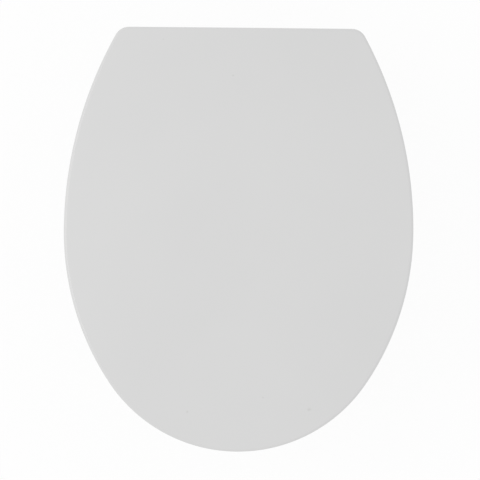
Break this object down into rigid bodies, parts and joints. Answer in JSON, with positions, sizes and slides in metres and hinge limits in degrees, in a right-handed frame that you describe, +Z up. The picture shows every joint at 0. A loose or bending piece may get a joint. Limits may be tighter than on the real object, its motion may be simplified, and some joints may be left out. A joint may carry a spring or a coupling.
{
  "type": "toilet seat",
  "caption": "White toilet seat with a plain crowned lid, a ring with an egg-shaped opening and soft-close hinges on studs that bolt through the pan.",
  "frame": {"origin": "on the pan's top face, midway between the two fixing studs", "axes": "+X across to the right, +Y to the rear, +Z up from the pan"},
  "size_m": [0.37, 0.449, 0.1067],
  "materials": {
    "white_thermoset": "gloss",
    "buffer_rubber": "satin",
    "bracket_chrome": "polished",
    "gasket_rubber": "matte",
    "stud_steel": "satin",
    "nut_nylon": "satin",
    "damper_plastic": "satin"
  },
  "bodies": {
    "base": {"hinge_bracket_left": "bracket_chrome", "hinge_bracket_right": "bracket_chrome", "base_gasket_left": "gasket_rubber", "base_gasket_right": "gasket_rubber", "fixing_stud_left": "stud_steel", "fixing_stud_right": "stud_steel", "sealing_cone_left": "gasket_rubber", "sealing_cone_right": "gasket_rubber", "stud_washer_left": "stud_steel", "stud_washer_right": "stud_steel", "wing_nut_left": "nut_nylon", "wing_nut_right": "nut_nylon", "pivot_pin_left": "stud_steel", "pivot_pin_right": "stud_steel", "lid_damper_housing": "damper_plastic", "lid_damper_cap": "damper_plastic", "lid_damper_seal": "gasket_rubber", "seat_damper_housing": "damper_plastic", "seat_damper_cap": "damper_plastic", "seat_damper_seal": "gasket_rubber"},
    "ring": {"seat_ring": "white_thermoset", "seat_buffer_front_left": "buffer_rubber", "seat_buffer_front_right": "buffer_rubber", "seat_buffer_rear_left": "buffer_rubber", "seat_buffer_rear_right": "buffer_rubber", "seat_damper_rotor": "damper_plastic", "pivot_bush_left": "nut_nylon"},
    "lid": {"lid": "white_thermoset", "lid_buffer_left": "buffer_rubber", "lid_buffer_right": "buffer_rubber", "lid_damper_rotor": "damper_plastic", "pivot_bush_right": "nut_nylon"}
  },
  "joints": [
    {"name": "ring_hinge", "type": "hinge", "parent": "base", "child": "ring", "pos_m": [0, 0.03, 0.03], "axis": [-1, 0, 0], "range_deg": [0, 95]},
    {"name": "lid_hinge", "type": "hinge", "parent": "ring", "child": "lid", "pos_m": [0, 0.03, 0.03], "axis": [-1, 0, 0], "range_deg": [0, 105]}
  ]
}
